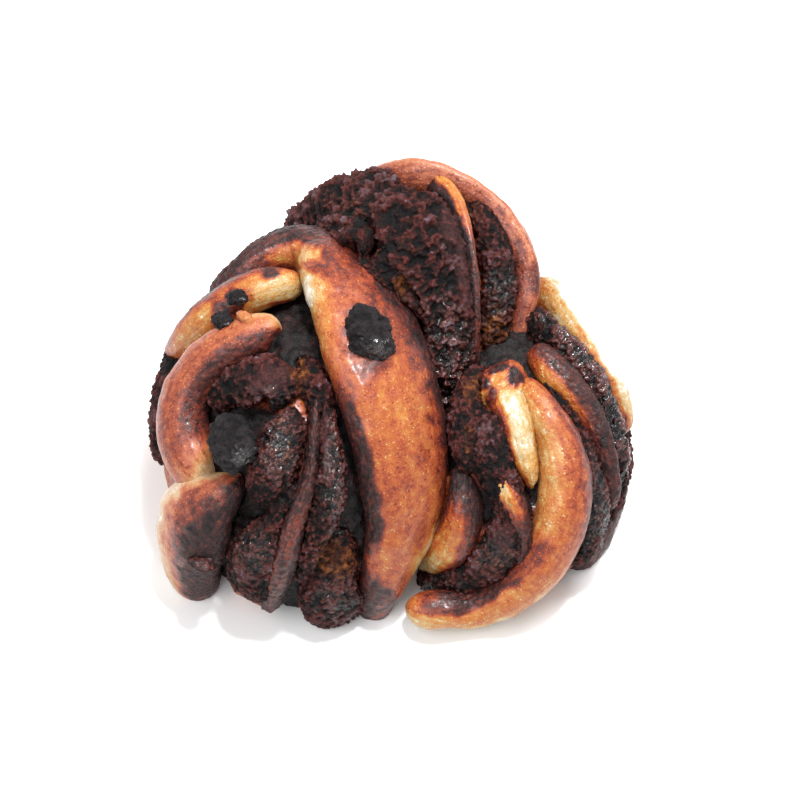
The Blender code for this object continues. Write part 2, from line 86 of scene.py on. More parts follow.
# Bands that show: lobe, then stations of right, up, lift, half width, rise; then how brown the
# crust is from station to station: station, left edge and its share, middle, right edge and its
# share, left and right as seen going along the band; then stains of right, up, their half sizes,
# turn in degrees, brownness and strength. Brownness runs from 0, pale crumb, to 1, chocolate.
SEEN_BANDS = {
    "wide_band": (LEFT, [
        (-46.5, 25, 2, 2, 3), (-43, 29.5, 4, 2.6, 3.2), (-38, 34, 6, 3.5, 4),
        (-32, 38.5, 7.5, 5, 5), (-25, 41, 8.5, 6.5, 5.5), (-17.5, 40, 8.5, 8, 6),
        (-12, 35.5, 8, 10.8, 6.5), (-7.4, 28, 7.4, 12.6, 6.8), (-3, 18, 6.8, 14, 7),
        (1.4, 6.5, 6.2, 14.4, 7.4), (5, -5.5, 5.6, 14, 7.5), (6.8, -17.5, 5, 13.2, 7.5),
        (6.2, -28.5, 4.5, 11.6, 7), (2.8, -38, 4, 8.6, 6), (-1.5, -47, 3.5, 5.4, 5),
        (-5.2, -53.5, 2.5, 4, 4)], [
        (0, .86, .9, .84, .84, .4), (2, .86, 1, .84, .76, .3), (3, .86, 1, .82, .5, .18),
        (4, .86, 1.05, .8, .34, .16), (5, .86, 1, .76, .24, .2), (6, .84, .95, .68, .14, .34),
        (7, .84, .9, .54, .2, .24), (8, .84, .8, .47, .34, .24), (8.8, .82, .76, .43, .5, .1),
        (9.4, .82, .72, .42, .78, .06), (10, .82, .7, .44, .82, .06), (11, .8, .66, .46, .84, .07),
        (11.6, .66, .6, .46, .84, .08), (12.2, .12, .6, .45, .84, .09),
        (13, .04, .7, .4, .82, .12), (14, .1, .7, .5, .8, .3), (15, .7, .6, .8, .85, .5)], [
        (-19.3, 31.2, 4.5, 2, -15, .7, .75), (-28.5, 33.4, 2.8, 1.2, -5, .26, .6),
        (-21.6, 24, 2, 5.5, 0, .03, .9), (-19, 15.5, 3.5, 7, 0, .3, .5),
        (-7.4, 15.4, 7.3, 9, 0, .72, .75), (-5.2, 8.2, 5, 1.8, 0, .72, .7),
        (1, -1, 7, 9, 0, .36, .5), (-4.6, -46.6, 4.6, 3.4, 0, .84, .9),
        (-5.8, -38.5, 2.4, 4, 0, .28, .6), (4, -30, 2, 7, -12, .56, .5)], .1),
    "shoulder_band": (LEFT, [
        (-22, 30.5, 1, 3.4, 3), (-27.5, 31, 3.4, 4.6, 3.8), (-33.5, 30.5, 4.4, 5.4, 4.6),
        (-39.5, 28.3, 4.6, 5.6, 5), (-45, 24.8, 4.6, 5.2, 5), (-50, 20.3, 4, 4.4, 4.6),
        (-53.8, 15.6, 2.8, 3.4, 4), (-56.2, 11, 1.4, 2.6, 3)], [
        (0, .16, .7, .3, .74, .8), (1, .14, .8, .42, .78, .95), (2, .18, .8, .5, .8, 1),
        (3, .3, .8, .6, .82, 1), (4, .24, .8, .62, .82, 1), (5, .26, .8, .64, .82, 1),
        (6, .3, .6, .6, .8, .5), (7, .6, .5, .7, .8, .5)], [
        (-30.8, 29.8, 2.6, 1.7, 10, .84, .95), (-28, 22.6, 4, .8, 8, .8, .7),
        (-40, 22, 5.4, 3.2, 48, .86, .85)], .05),
    "curl_band": (LEFT, [
        (-26.5, 18.5, 1.5, 2.4, 2.6), (-29.5, 19.2, 3, 3.8, 3.6), (-34.5, 18.6, 4, 5, 4.6),
        (-41, 16.3, 4.6, 5.4, 5), (-48, 12.2, 4.8, 5.8, 5.4), (-54, 5, 4.8, 6.2, 5.8),
        (-56.5, -3, 4.8, 6.6, 6), (-55.5, -11, 4.2, 6.6, 6), (-51.8, -17.4, 2.8, 6, 5),
        (-46.5, -21.4, 0.5, 3.8, 3.6)], [
        (0, .7, .5, .25, .16, .9), (1, .74, .5, .3, .16, .9), (2, .76, .55, .44, .22, .8),
        (3, .78, .42, .48, .36, .6), (4, .78, .36, .5, .44, .5), (5, .76, .28, .54, .5, .4),
        (6, .72, .24, .57, .52, .4), (7, .66, .24, .58, .5, .4), (8, .42, .5, .46, .3, .4),
        (8.6, .16, .6, .14, .12, .5), (9, .16, .6, .14, .12, .5)], [], .35),
    "curl_flake": (LEFT, [
        (-39.5, 21.6, 5, 1.4, 1.4), (-37.2, 20.4, 6, 1.9, 1.6), (-34.5, 19, 5.5, 1.6, 1.5)], [
        (0, .45, .4, .4, .5, .4), (2, .4, .4, .34, .4, .4)], [], .2),
    # The pale right edge, stations 4 to 6, is partly pale crumb and partly painted light from the
    # bright floor below
    "lower_left_band": (LEFT, [
        (-38.5, -17.5, -1, 2.6, 2.6), (-43.5, -21.8, 1.5, 5.4, 4), (-49, -26.2, 4, 9, 5.6),
        (-53.5, -31.5, 5.5, 10.4, 6.6), (-55, -37.5, 5.5, 9.4, 6.6), (-53.5, -43.5, 5, 7.4, 6),
        (-50.5, -49, 4, 5.6, 5.4), (-47.5, -53.5, 2.5, 4.4, 4.5)], [
        (0, .84, .9, .5, .2, .4), (1, .87, 1, .54, .14, .4), (2, .88, 1.1, .6, .12, .45),
        (3, .88, .95, .5, .08, .7), (4, .87, .8, .26, .04, .9), (5, .84, .66, .14, .02, 1),
        (6, .7, .5, .14, .06, .9), (7, .6, .5, .25, .1, .6)], [], .45),
    "lower_left_flap": (LEFT, [
        (-51.5, -37.8, 6.4, .8, 1), (-49, -39.8, 7.2, 1.2, 1.2), (-46.5, -41, 6.6, 1.1, 1.2),
        (-44, -42, 5, .8, 1)], [
        (0, .8, .4, .86, .8, .5), (3, .8, .4, .86, .8, .5)], [], 0),
    "fan_rib": (LEFT, [
        (-19.5, 1.5, -1.5, 1.2, 2), (-20, -7, -0.5, 1.5, 2.2), (-20.7, -15.3, 0.2, 1.8, 2.5),
        (-22.1, -22.3, 0.6, 2.2, 3), (-24.5, -28.4, 1, 2.8, 3.5), (-26.4, -34.5, 1.4, 3.2, 4),
        (-28.4, -40.5, 1.4, 3.5, 4), (-30.2, -46, 1, 3.4, 3.8), (-32, -51.5, 0, 2.8, 3.2)], [
        (0, .86, .5, .84, .88, .4), (2, .86, .4, .84, .88, .4), (3.2, .87, .3, .78, .86, .4),
        (4.5, .87, .4, .73, .86, .4), (6, .88, .4, .76, .87, .4), (8, .88, .4, .83, .88, .4)],
        [], .1),
    "crown_edge": (BACK, [
        (6, 55.5, 1, 1.6, 2.2), (10, 53, 2, 2.6, 2.6), (13.8, 48.6, 2.2, 2.5, 2.8),
        (16, 42, 1.8, 1.8, 2.8), (17.5, 35.3, 1.6, 1.5, 2.8), (18.3, 28, 1.6, 1.4, 2.8),
        (18.7, 20.5, 1.6, 1.4, 2.8), (18.5, 13.5, 1.6, 1.4, 2.8), (17.8, 6.5, 2, 1.4, 2.8),
        (17, 1, 2, 1.2, 2.4)], [
        (0, .3, .8, .35, .5, .4), (1, .26, 1, .3, .85, .4), (2, .28, 1, .34, .88, .4),
        (3, .36, 1, .44, .88, .5), (3.8, .55, .6, .72, .9, .6), (5, .7, .5, .76, .9, .5),
        (9, .72, .5, .78, .88, .5)], [], 0),
    "crown_rim": (BACK, [
        (-8, 55, 1.5, 3, 3), (2, 57, 4, 2.4, 3.4), (10.5, 55.5, 4.2, 2, 3),
        (18.5, 51.5, 4, 2, 3), (24.5, 46.5, 4, 2.2, 3.2), (28.8, 40.5, 4.2, 2.6, 3.8),
        (31.9, 34, 4.6, 2.6, 3.8), (33, 28, 4.6, 2.4, 3.8), (32, 22.5, 3.6, 2.2, 3.4),
        (30.4, 17, 2.4, 2, 3.2), (28.8, 12, 1.2, 1.9, 3), (27.8, 8.5, 0.4, 1.5, 2.5)], [
        (0, .4, .5, .42, .6, .5), (2, .32, .5, .4, .5, .4), (5, .3, .5, .42, .64, .4),
        (7, .34, .5, .45, .66, .35), (9, .42, .4, .5, .6, .4), (11, .5, .4, .5, .5, .4)], [
        (32, 28.4, 1.6, 4, 0, .8, .8)], .7),
    "crown_foot": (RIGHT, [
        (27, 11, -1.4, 3.5, 3), (25.4, 7.4, 0, 5.6, 3.2), (22.4, 3.4, 0.3, 6.4, 3.2),
        (19, -0.4, -0.6, 4.4, 3)], [
        (0, .66, .5, .6, .66, .5), (1, .3, .4, .34, .6, .5), (2, .14, .5, .24, .66, .5),
        (3, .1, .5, .12, .5, .5)], [
        (23, 7.6, 3.4, 1, 24, .9, .95), (27.4, 5.4, 1.8, 2.6, 30, .88, .95),
        (19.6, 4, 1.8, 1.6, 0, .86, .9), (21.4, 0.6, 1.2, 2.8, -20, .8, .9)], 0),
    # Its palest rows go below 0 to the ramp's brightest stop: pale cream crumb with a painted
    # highlight
    "right_back_band": (RIGHT, [
        (33.5, 33, 3.5, 3, 3), (39.5, 27, 4.2, 4.2, 4.2), (46, 18.5, 4, 4.8, 4.5),
        (51, 9.5, 3.5, 4.2, 4.2), (54.2, 0, 2.5, 3, 3.6), (55.5, -8, 1, 2.2, 3)], [
        (0, .2, .5, .24, .35, .4), (.7, .06, .6, .1, .3, .3), (1.4, -.06, .6, -.04, .16, .2),
        (3, -.06, .5, -.04, .3, .2), (4, .1, .5, .1, .5, .3), (5, .3, .5, .4, .6, .4)], [], .1),
    "right_ridge": (RIGHT, [
        (30.5, 14.5, -1, 3, 3), (35, 12, 0, 3.8, 3.5), (39.5, 7.5, 0.8, 4.4, 4),
        (44.8, 1.5, 1, 4, 4), (48.8, -6, 1.5, 3.1, 4), (50.8, -13, 1.5, 2.5, 3.8),
        (51.8, -20, 1.5, 2.2, 3.6), (51.2, -27, 0.8, 1.9, 3.2)], [
        (0, .85, .4, .72, .6, .5), (1, .86, .5, .76, .45, .34), (2, .86, .5, .8, .26, .34),
        (3, .86, .5, .82, .4, .3), (4, .75, .4, .84, .75, .3), (7, .7, .4, .8, .85, .3)],
        [], 0),
    # The pale left edge along the bottom, stations 6 to 8, is partly pale crumb and partly painted
    # light bounced from the floor
    "golden_loop": (RIGHT, [
        (28.5, 7, -2.5, 3, 3.2), (34.5, -0.5, 1.2, 4.2, 4.5), (40.5, -10.5, 2.5, 5.5, 5.5),
        (42.5, -21.5, 3, 6.5, 6), (40.5, -32.5, 3, 6.5, 6), (35, -42.5, 3, 6, 6),
        (26, -50, 3.4, 5, 5.6), (17, -53.2, 5.6, 4.4, 4.8), (8.6, -53.6, 10, 4, 4.4),
        (0.5, -52.6, 13.6, 3.8, 4)], [
        (0, .5, .6, .36, .3, .6), (1, .62, .8, .36, .22, .5), (2, .68, .9, .44, .22, .5),
        (3, .7, .9, .48, .24, .5), (4, .64, .8, .44, .3, .5), (5, .3, .8, .4, .6, .35),
        (6, .12, .9, .34, .8, .22), (7, .1, .9, .28, .8, .24), (8, .1, .8, .22, .76, .22),
        (9, .08, .8, .12, .3, .5)], [
        (31, -5, 2, 2.4, 0, .2, .8), (35.5, -26, 2, 7, -8, .26, .5),
        (33, -36, 2.4, 4, -30, .7, .6), (25, -46, 3, 1.6, 25, .24, .7),
        (12, -49.6, 5, 1.2, 0, .7, .6)], .12),
    "foot_flap": (RIGHT, [
        (22, -51, 2, 2, 2), (26, -51.5, 3, 2.5, 2), (30, -49.5, 2, 2, 2)], [
        (0, .45, .4, .38, .4, .4), (2, .5, .4, .4, .4, .4)], [], .1),
    "pale_strand": (RIGHT, [
        (26, 6.5, -2.5, 4, 3), (25.3, 1.5, 0.4, 4.4, 3.8), (27.5, -4.5, 1, 4.2, 4),
        (29.2, -10.5, 0.8, 3.6, 3.8), (30.8, -16.5, 0, 2.6, 3.4), (32, -21.5, -1, 1.6, 2.6)], [
        (0, .3, .5, .3, .4, .4), (1, .14, .4, .1, .66, .45), (2, .18, .4, .08, .7, .5),
        (3, .22, .4, .1, .6, .45), (4, .25, .4, .18, .3, .4), (5, .3, .4, .25, .5, .4)], [], 0),
    "heart_loop": (RIGHT, [
        (12, -14.5, -1.6, 2.4, 2.4), (13, -21.5, 0, 3.4, 3.4), (12.8, -28, 0.8, 4.6, 4.5),
        (10.4, -34.5, 1, 5.4, 4.6), (6, -39, 0.6, 5.2, 4.4), (1.5, -41.5, -0.5, 4, 4)], [
        (0, .9, .5, .9, .9, .4), (1, .88, .5, .84, .84, .5), (2, .8, .42, .5, .7, .5),
        (3, .72, .42, .24, .55, .5), (4, .7, .42, .16, .4, .5), (5, .66, .5, .1, .3, .4)], [
        (7, -34, 2, 3, 20, .5, .6)], .0),
    "heart_core": (RIGHT, [
        (22.6, -17, -1, 1.6, 2.2), (24.6, -20.6, 0.2, 3, 2.8), (27, -25, 0.2, 3, 2.8),
        (29, -30.5, -0.2, 2.8, 2.8), (29.6, -36.5, -0.4, 2.6, 2.6), (27, -41.5, -1.2, 1.8, 2.4)], [
        (0, .84, .6, .7, .84, .5), (1, .74, .6, .08, .7, .4), (2, .8, .6, .3, .7, .5),
        (3, .86, .5, .8, .8, .5), (5, .86, .5, .82, .85, .4)], [], 0),
}

# Bands of the sides and the back, their stations as turn and climb in degrees
DRAPE_BAKE = [(0, .72, .4, .62, .72, .4), (1, .7, .35, .52, .7, .35), (2, .68, .3, .46, .68, .3),
              (3, .6, .3, .28, .6, .3)]
HIDDEN_BANDS = {
    "back_drape_left": (BACK, [
        (140, 34, -2, 5, 4), (146, 24, 0, 7.5, 5), (150, 9, 2, 8, 5.5),
        (150, -12, 1.5, 7.5, 5.5)], DRAPE_BAKE, [], .2),
    "back_drape_middle": (BACK, [
        (100, 36, -2, 6, 4), (107, 24, 0, 8.5, 5), (112, 9, 1.5, 9, 5.5),
        (114, -12, 1.5, 8, 5.5)], DRAPE_BAKE, [], .1),
    "back_drape_right": (BACK, [
        (60, 40, -2, 5, 4), (66, 27, 0, 7.5, 5), (72, 12, 1.5, 8.5, 5.5),
        (76, -12, 1.5, 8, 5.5)], DRAPE_BAKE, [], .2),
    "back_tuck": (BACK, [
        (38, 26, 0, 4, 4), (36, 12, 1, 6.5, 5), (30, -2, 1, 7, 5),
        (22, -14, 0.5, 6, 5)], DRAPE_BAKE, [], .3),
    "left_skirt": (LEFT, [
        (122, 12, 0, 5, 4), (142, 7, 0.5, 7, 5), (162, 2, -1, 7.5, 5.5),
        (182, -3, -3, 6.5, 5.5), (202, -6, -3.5, 6, 5.5), (222, -9, -2.5, 5.5, 5)], [
        (0, .68, .5, .48, .3, .5), (5, .66, .5, .44, .25, .6)], [], .2),
    "right_skirt": (RIGHT, [
        (52, 8, -1, 4, 4), (32, 4, -1, 5.5, 5), (10, 0, -1.5, 6, 5.5),
        (-12, -4, -1.5, 6, 5.5), (-34, -8, -1.5, 6, 5.5), (-52, -11, -2, 5, 5)], [
        (0, .5, .5, .6, .7, .5), (1.5, .84, .5, .8, .86, .5), (5, .84, .6, .8, .86, .5)], [], .2),
}

# Filling that shows: the node it stands for, lobe, ropes of stations, then soft places of right,
# up, their half sizes, turn and strength for what is wet, glowing brown, dusty or a smooth skin,
# and dents of right, up, half sizes, turn and depth; last the size and depth of its clumps
SEEN_FILLING = {
    "crumbly_crown": ("filling_crown", BACK, [
        [(-23.5, 43.5, 0, 8, 6), (-13, 44.5, 1.5, 15, 8), (-2.5, 37, 3, 18, 9),
         (6, 24.5, 3.2, 14, 8), (11, 12, 4, 9.5, 7), (13, 3, 6.8, 6.5, 6),
         (13.5, -5, 8, 4.8, 5)],
        [(-30.5, 38.5, 2.5, 6, 5), (-26, 45.5, 3, 7.5, 6.5), (-18, 51, 2.8, 8, 6),
         (-8, 54, 2.8, 8, 6), (1, 54, 2, 7, 5)]],
        {"wet": [(12.5, 6, 6, 17, 5, 1), (2, 20, 4, 6, 0, .3)],
         "glow": [(0, 27, 2.5, 3, 0, .8), (-5, 25, 2.5, 3, 0, .6), (-11, 45, 4, 2.5, 0, .4)],
         "dust": [(-6, 50, 5, 4, 0, .8), (13.5, 36, 3, 12, -8, .8), (-22, 45, 8, 6, 30, .5)],
         "skin": [(13.5, 40, 3, 8, 25, .8), (16, 28, 2, 10, 0, .8)]},
        [(-10, 37.5, 4, 4.5, -35, 5.5), (3, 21, 2, 8, 25, 2.5)], 3.0, 1.5),
    "crown_groove": ("filling_crown_groove", BACK, [
        [(15.5, 51.5, 0.6, 2, 2.5), (20, 47, 1.8, 3.4, 3.2), (24, 41, 2.2, 4.8, 3.5),
         (26.4, 33, 2, 5.6, 3.6), (26.6, 25, 1.6, 5.6, 3.6), (25.4, 18, 0.6, 5.2, 3.5),
         (24, 12, 0.4, 5.4, 3.2), (23, 7.5, 0.6, 5, 3)]],
        {"wet": [(24, 24, 5, 8, 0, .6)],
         "glow": [(17, 47, 3, 4, 30, .5), (22, 14, 4.5, 7, 0, 1), (27, 11, 2.4, 7, 0, 1)],
         "dust": [(24, 36, 3, 5, 0, .4)], "skin": []},
        [], 2.2, 1.0),
    "curl_filling": ("filling_curl", LEFT, [
        [(-46, -3.5, -1.5, 4, 4), (-44.5, 3, 0.2, 5.5, 5), (-38, 6.6, 1.6, 7, 6),
         (-30.5, 6.2, 1.8, 7.4, 6), (-25.5, 6.8, 1, 6, 5), (-22, 7.5, -1, 4.5, 3.6)],
        [(-23, 12.5, -3.5, 3, 3), (-20.5, 7.5, -1.8, 4.2, 4), (-18.2, 0, -1.6, 4.2, 4),
         (-16.5, -7, -2.4, 3.4, 3.4)]],
        {"wet": [(-30, 1, 6, 2.5, 0, .6)], "glow": [(-24, 6.2, 2.4, 4.4, 0, 1)],
         "dust": [(-42, 3, 3, 8, 0, .4)], "skin": [(-31, 4.4, 6.5, 4, 10, .85)]},
        [(-32.5, -2.2, 3, 1.6, 20, 3)], 2.0, 1.0),
    "fan_left_filling": ("filling_fan_left", LEFT, [
        [(-24.8, 1, -1.5, 2.5, 3), (-26.2, -4, 0.8, 4.6, 4.5), (-28.5, -9.5, 1.8, 5.8, 5.5),
         (-31, -15.5, 1.5, 6.5, 5.5), (-33, -21, 0.4, 6, 5), (-35, -26.5, -1.5, 4.5, 4)],
        [(-23.3, -19, -1, 1.5, 2), (-25.5, -24.5, -0.5, 2.4, 2.6), (-28.7, -30, 0, 4.2, 3.8),
         (-32.8, -36, 1.5, 7, 5.5), (-35.8, -42.5, 2.2, 8.2, 6), (-36, -49.5, 2, 7.2, 5.5)]],
        {"wet": [(-29.4, -10.5, 5.5, 11, 18, 1), (-34, -36, 5, 6, 0, .5)],
         "glow": [(-27.3, -10, 2.5, 7, 15, .5)], "dust": [(-34, -45, 6, 5, 0, .3)], "skin": []},
        [], 1.7, 0.9),
    "fan_right_filling": ("filling_fan_right", LEFT, [
        [(-17.2, 2, -1.5, 1.6, 2.5), (-16.4, -6, -0.2, 3, 3.8), (-15.8, -14, 0.8, 4, 4.8),
         (-15.7, -21.5, 1.2, 4.6, 5.4), (-17, -27.5, 1.2, 4.8, 5.4), (-19.3, -33, 0.6, 4.2, 4.8),
         (-21.8, -39, 0, 3.2, 4), (-24, -45, -0.5, 2.6, 3.2)],
        [(-12.5, -30, -4.5, 3.5, 3), (-14, -36.5, -3.5, 6, 4), (-14.5, -43, -2, 7, 5),
         (-14.5, -49.5, 1.5, 8.5, 6), (-13, -55, 1.5, 8.5, 5.5)]],
        {"wet": [(-14.8, -17, 3.5, 14, 0, 1), (-14, -46, 6, 5, 0, .6)],
         "glow": [(-15, -37.6, 5.5, 5.5, 0, .9)], "dust": [(-14, -52, 8, 3, 0, .4)],
         "skin": [(-17.8, -9, 1.5, 9, 3, .8)]},
        [], 1.7, 0.9),
    "right_stripe": ("filling_right_stripe", RIGHT, [
        [(30.5, 24.5, 0.5, 3.4, 3), (37, 18.5, 1.5, 3.4, 4), (43, 13, 2.2, 3.6, 4.2),
         (48, 7, 2.5, 3.6, 4.5), (51.3, 0, 2.5, 3.4, 4.6), (53.2, -7, 2.4, 3.2, 4.5),
         (54.4, -14, 1.8, 2.6, 4), (54.2, -21, 0.8, 1.6, 3)]],
        {"wet": [(48, 0, 12, 26, 25, 1)], "glow": [], "dust": [], "skin": []},
        [], 2.2, 0.9),
    "right_flank": ("filling_right_flank", RIGHT, [
        [(34, 5.5, -1.5, 2, 2.5), (39, 0, -1, 3, 3.5), (43.5, -8, -0.5, 4, 4),
         (46.8, -17, 0.6, 5.5, 5), (48.3, -26, 1, 6.2, 5.2), (47, -34.5, 1.2, 6.2, 5.2),
         (42, -41, 1, 5, 5)]],
        {"wet": [(47, -22, 5, 14, 0, .6)], "glow": [(48, -25, 4, 8, 0, .25)],
         "dust": [(48, -36, 5, 6, 0, .4)], "skin": []},
        [], 1.9, 0.9),
    "heart_filling": ("filling_heart", RIGHT, [
        [(18.5, -0.5, 0, 3.5, 3.2), (19.8, -6.5, 1, 6, 4.8), (22, -13.5, 1, 6.5, 5),
         (23.8, -19.5, 0, 5.5, 4.6), (27.5, -27.5, -0.5, 4.5, 4.2), (26.5, -33.5, 0, 6, 5),
         (22, -39.5, 0, 6.2, 5), (15.5, -43.5, 0.6, 5.2, 4.6), (9, -45.4, 2.6, 4.6, 4.2),
         (2.5, -44.7, 3.6, 3.8, 3.8)],
        [(20, 10, -1.5, 4, 3), (15.5, 4.5, -0.5, 4.4, 3.6), (13.4, -3.5, 0.8, 4.6, 4),
         (14, -12, 1, 3.8, 4), (14, -18.4, 0, 2.8, 3.2)]],
        {"wet": [(20, -36, 8, 5, 0, .5), (8, -44.8, 7, 3, 0, .9)],
         "glow": [(16, -9.4, 1.2, 3.6, 0, 1), (24, -38, 4, 2, 30, .5), (18, 3, 4, 4, 0, .7)],
         "dust": [(22, -9.5, 5, 8, 0, .9)], "skin": [(24, -32, 3.5, 3.5, 0, .6)]},
        [], 1.8, 0.8),
}

HIDDEN_FILLING = {
    "back_left_filling": ("filling_back_left", BACK, [
        [(124, 30, -1, 3, 4), (130, 18, 1.5, 4.5, 5), (133, 4, 1.5, 5, 5),
         (133, -12, 1, 5, 5)]]),
    "back_middle_filling": ("filling_back_middle", BACK, [
        [(82, 32, -1, 3, 4), (88, 18, 1.5, 4.5, 5), (94, 2, 1.5, 5, 5),
         (96, -12, 1, 5, 5)]]),
    "back_right_filling": ("filling_back_right", BACK, [
        [(46, 36, 0, 3, 4), (50, 22, 1, 4, 4.5), (54, 8, 1.5, 5, 5), (56, -10, 1, 5, 5)]]),
    "left_side_filling": ("filling_left_side", LEFT, [
        [(126, 30, 0, 3, 4), (142, 25, 1, 5, 5), (158, 21, 1.5, 6.5, 5.5),
         (176, 17, 1.5, 6.5, 5.5), (194, 13, 1, 5.5, 5)]]),
    "right_side_filling": ("filling_right_side", RIGHT, [
        [(44, 22, -0.5, 3, 3.5), (24, 16, -0.5, 4.5, 4.5), (4, 11, -0.5, 4.5, 5),
         (-16, 6, -0.5, 4.5, 4.5), (-34, 2, -1, 3.5, 4)]]),
}

# Charred lumps: node, lobe, right, up, lift of the centre, half length up the view, half width
# across it, half height, icosphere subdivisions
LUMPS = {
    "charred_lump_on_band": ("chocolate_lump_band", LEFT, -7.4, 15.4, 6, 7.2, 5.8, 4.6, 6),
    "charred_lump_in_curl": ("chocolate_lump_curl", LEFT, -39.5, -10, 2, 6.6, 5.7, 4.6, 6),
    "charred_bit_upper": ("chocolate_bit_upper", LEFT, -38.3, 24.2, 4.6, 1.8, 2.8, 2, 5),
    "charred_bit_lower": ("chocolate_bit_lower", LEFT, -41.8, 18.8, 4.6, 2.5, 3, 2.2, 5),
}

# How crumbly a torn band is all over; the others are a little, and more where they are dark
TORN = {"crown_foot": 1, "pale_strand": 0.4, "heart_core": 0.8, "right_back_band": 0.3,
        "fan_rib": 0.9, "curl_flake": 0.4, "lower_left_flap": 0.6, "foot_flap": 0.4,
        "right_ridge": 0.4, "heart_loop": 0.4}
HARDLY_TORN = 0.12

CRUMB_CORES = {"crumb_left": LEFT, "crumb_back": BACK, "crumb_right": RIGHT}


def normalised(vector):
    return vector / np.linalg.norm(vector)


def place_seen(lobe, right, up, lift):
    """Crest and outward normal where a line of sight meets the lobe raised by lift."""
    centre, radii = np.array(lobe[0], float), np.array(lobe[1], float) + lift
    aim = VIEW_AIM + np.array([right, 0, 0]) + VIEW_UP * up
    ray = normalised(aim - VIEW_EYE)
    start, step = (VIEW_EYE - centre) / radii, ray / radii
    a, b, c = step @ step, start @ step, start @ start - 1
    reach = max(b * b - a * c, 0.0)
    unit = normalised(start + step * (-b - math.sqrt(reach)) / a)
    return centre + unit * radii, normalised(unit / radii)


def place_around(lobe, turn, climb, lift):
    """Crest and outward normal at a turn from +X and a climb above the level, in degrees."""
    centre, radii = np.array(lobe[0], float), np.array(lobe[1], float) + lift
    turn, climb = math.radians(turn), math.radians(climb)
    level = math.cos(climb)
    unit = np.array([math.cos(turn) * level, math.sin(turn) * level, math.sin(climb)])
    return centre + unit * radii, normalised(unit / radii)


def seen_from_front(points):
    """Right and up in the photograph's view, in millimetres, of points in millimetres."""
    away = points - VIEW_EYE
    flat = VIEW_EYE + away * (VIEW_DISTANCE / -(away @ VIEW_BACK))[:, None]
    return flat[:, 0] - VIEW_AIM[0], (flat - VIEW_AIM) @ VIEW_UP


def way_of(place, lobe, stations):
    """The strand's way, close set: crest, normal, half width, rise and station number."""
    rows = []
    for number, (first, second, lift, half, rise) in enumerate(stations):
        crest, normal = place(lobe, first, second, lift)
        rows.append([*crest, *normal, half, rise, number])
    rows = np.array(rows)
    knots = np.vstack([2 * rows[0] - rows[1], rows, 2 * rows[-1] - rows[-2]])
    way = []
    for index in range(1, len(knots) - 2):
        p0, p1, p2, p3 = knots[index - 1:index + 3]
        for t in np.arange(16) / 16:
            way.append(0.5 * (2 * p1 + (p2 - p0) * t
                              + (2 * p0 - 5 * p1 + 4 * p2 - p3) * t ** 2
                              + (3 * p1 - p0 - 3 * p2 + p3) * t ** 3))
    way.append(rows[-1])
    return np.array(way)


def rings_of(way, spacing):
    """Where the loft's circles stand: centre, turn, half width and half height, station, run."""
    run = np.concatenate([[0], np.cumsum(np.linalg.norm(np.diff(way[:, :3], axis=0), axis=1))])
    long = run[-1]
    count = max(2, round((long - 6) / spacing) + 1)
    marks = np.concatenate([[0, 0.5, 1.5], np.linspace(3, long - 3, count),
                            [long - 1.5, long - 0.5, long]])
    rows = np.array([np.interp(marks, run, column) for column in way.T]).T
    along = np.array([np.interp(marks, run, column)
                      for column in np.gradient(way[:, :3], axis=0).T]).T
    rings = []
    for row, direction, mark in zip(rows, along, marks):
        direction = normalised(direction)
        up = normalised(row[3:6] - (row[3:6] @ direction) * direction)
        side = np.cross(direction, up)
        half, rise = row[6], row[7]
        tall = (rise + max(rise, SHALLOWEST)) / 2
        to_end = min(mark, long - mark) + 0.05
        closing = math.sqrt(1 - (1 - min(to_end / ROUND_END, 1)) ** 2)
        turned = Matrix((side, up, -direction)).transposed()
        rings.append((row[:3] - up * tall, turned, half * closing, tall * closing, row[8], mark))
    return rings


def select_rings(piece, sides, first, last):
    """The circles from first to last selected, and nothing else."""
    bpy.ops.mesh.select_all(action="DESELECT")
    mesh = bmesh.from_edit_mesh(piece.data)
    mesh.edges.ensure_lookup_table()
    mesh.verts.ensure_lookup_table()
    for vertex in mesh.verts[first * sides:(last + 1) * sides]:
        vertex.select = True
    for edge in mesh.edges:
        one, other = (vertex.index // sides for vertex in edge.verts)
        edge.select = one == other and first <= one <= last
    bmesh.update_edit_mesh(piece.data)


